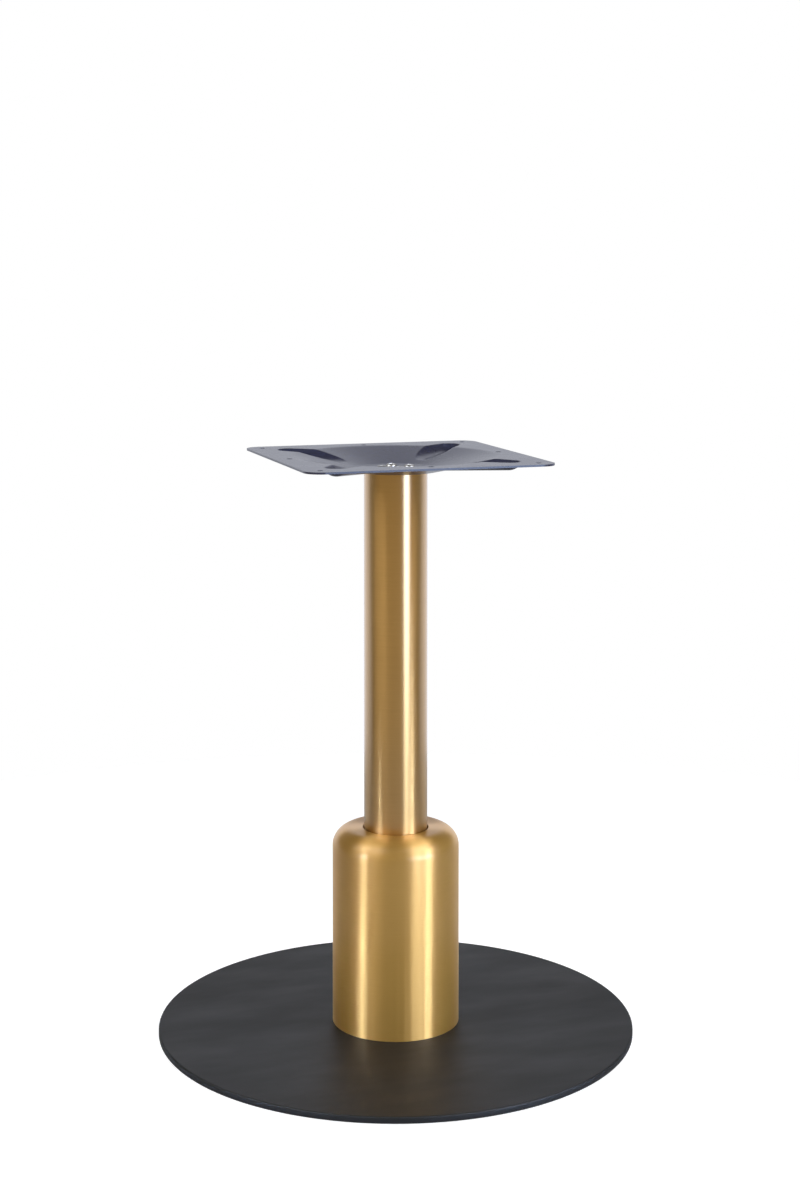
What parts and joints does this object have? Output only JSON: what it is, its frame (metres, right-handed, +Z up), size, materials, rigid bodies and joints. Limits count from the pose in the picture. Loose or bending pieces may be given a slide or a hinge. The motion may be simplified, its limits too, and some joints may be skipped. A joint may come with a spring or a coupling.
{
  "type": "table base",
  "caption": "Pedestal table base: flat round foot, brass-coloured column rising from a wide round-shouldered sleeve, and a square dished top plate that carries a tabletop.",
  "frame": {"origin": "on the floor, on the column's axis", "axes": "+Z up along the column's axis; X and Y along the edges of the top plate"},
  "size_m": [0.5999, 0.6, 0.73],
  "materials": {
    "pad_rubber": "matt",
    "black_coat": "matt fine-textured powder coat",
    "mill_steel": "mill finish",
    "zinc_plate": "bright zinc plate",
    "brushed_brass": "satin, hairline brushed round the axis",
    "slate_coat": "satin powder coat"
  },
  "bodies": {
    "root": {"floor_pads": "pad_rubber", "base_plate": "black_coat", "foot_flange": "mill_steel", "foot_weld": "mill_steel", "foot_screws": "zinc_plate", "column_tube": "brushed_brass", "sleeve": "brushed_brass", "head_disc": "mill_steel", "head_weld": "mill_steel", "top_plate": "slate_coat", "top_screws": "zinc_plate"}
  },
  "joints": []
}
